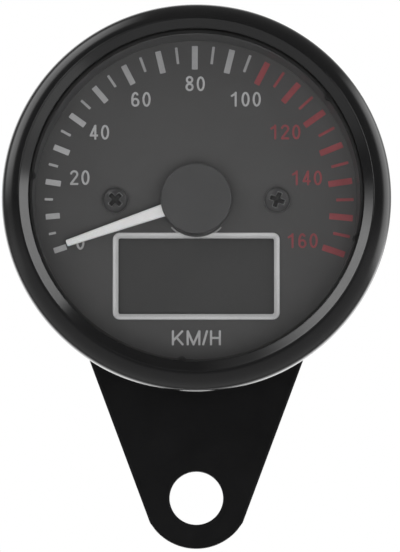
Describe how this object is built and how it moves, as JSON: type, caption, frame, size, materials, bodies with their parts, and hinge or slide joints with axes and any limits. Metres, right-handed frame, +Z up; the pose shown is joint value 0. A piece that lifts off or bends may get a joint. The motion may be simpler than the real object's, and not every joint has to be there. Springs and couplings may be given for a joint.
{
  "type": "round motorcycle speedometer with pointer and display window",
  "caption": "Round black motorcycle speedometer with a pointer over a grey dial, a display window and a flat bracket with a bolt hole.",
  "frame": {"origin": "centre of the bracket's bolt hole, in the middle of the plate", "axes": "+Z up from the bolt hole to the gauge's axis, -Y out of the dial to the rider, +X to the rider's right"},
  "size_m": [0.06, 0.0495, 0.082],
  "materials": {
    "black_enamel": "smooth black enamel with a soft gloss",
    "bracket_coat": "matte black powder coat",
    "black_rubber": "matte black rubber",
    "clear_lens": "clear polished lens",
    "black_plastic": "fine matte black plastic",
    "dial_face": "matte dark grey print",
    "grey_print": "matte light grey ink",
    "red_print": "matte dull red ink",
    "silver_frame": "satin silver plastic",
    "black_screws": "dark grey oxide",
    "needle_white": "satin white plastic",
    "hub_grey": "matte dark grey plastic",
    "bright_steel": "ground steel",
    "nylon": "natural nylon",
    "display_dark": "dark unlit display",
    "light_guide": "clear acrylic",
    "strip_rubber": "striped conductive rubber",
    "white_plastic": "white moulded plastic",
    "board_green": "green solder mask",
    "small_steel": "bright plated steel",
    "lamp_resin": "yellowish lamp resin",
    "chip_black": "moulded epoxy",
    "capacitor_sleeve": "dark blue sleeve",
    "header_cream": "cream nylon",
    "brass_part": "plain brass",
    "motor_plastic": "dark moulded plastic",
    "core_steel": "stamped soft iron",
    "copper_wire": "enamelled copper wire",
    "magnet_grey": "sintered magnet",
    "zinc_plate": "bright zinc plating"
  },
  "bodies": {
    "gauge": {"bezel_ring": "black_enamel", "lens_gasket": "black_rubber", "lens_glass": "clear_lens", "spacer_ring": "hub_grey", "case_gasket": "black_rubber", "case_shell": "black_plastic", "dial_plate": "dial_face", "scale_marks": "grey_print", "redline_marks": "red_print", "scale_numbers": "grey_print", "redline_numbers": "red_print", "display_frame": "silver_frame", "dial_screws": "black_screws", "display_glass": "display_dark", "light_guide": "light_guide", "contact_strip": "strip_rubber", "inner_carrier": "white_plastic", "circuit_board": "board_green", "board_screws": "small_steel", "backlight_lamps": "lamp_resin", "controller_chip": "chip_black", "voltage_regulator": "chip_black", "smoothing_capacitor": "capacitor_sleeve", "wire_header": "header_cream", "push_switch": "chip_black", "button_bush": "black_plastic", "button_seal": "black_rubber", "motor_front_cover": "motor_plastic", "motor_rear_cover": "motor_plastic", "stator_core": "core_steel", "coil_bobbins": "nylon", "coil_windings": "copper_wire", "motor_pins": "small_steel", "gear_arbors": "bright_steel", "mounting_studs": "zinc_plate", "bracket_pads": "black_rubber", "bracket_plate": "bracket_coat", "flat_washers": "zinc_plate", "spring_washers": "zinc_plate", "stud_nuts": "zinc_plate", "cable_grommet": "black_rubber"},
    "pointer": {"pointer_needle": "needle_white", "hub_cap": "hub_grey", "pointer_shaft": "bright_steel", "output_wheel": "nylon"},
    "intermediate_gear": {"intermediate_wheel": "nylon"},
    "rotor": {"rotor_pinion": "nylon", "rotor_magnet": "magnet_grey"},
    "button": {"mode_button": "black_plastic", "switch_plunger": "brass_part"}
  },
  "joints": [
    {"name": "pointer_turn", "type": "hinge", "parent": "gauge", "child": "pointer", "pos_m": [0, -0.03, 0.044], "axis": [0, 1, 0], "range_deg": [0, 219]},
    {"name": "intermediate_turn", "type": "hinge", "parent": "gauge", "child": "intermediate_gear", "pos_m": [0.0042, -0.019, 0.03673], "axis": [0, 1, 0], "range_deg": [-1320, 6]},
    {"name": "rotor_turn", "type": "hinge", "parent": "gauge", "child": "rotor", "pos_m": [0, -0.017, 0.03203], "axis": [0, 1, 0], "range_deg": [-36, 7920]},
    {"name": "button_press", "type": "slide", "parent": "gauge", "child": "button", "axis": [0, -1, 0], "range_m": [0, 0.0005], "stiffness_N_per_m": 1500, "springref_m": -0.0003}
  ],
  "couplings": [
    {"joint": "intermediate_turn", "follows": "pointer_turn", "ratio": -6},
    {"joint": "rotor_turn", "follows": "pointer_turn", "ratio": 36}
  ]
}
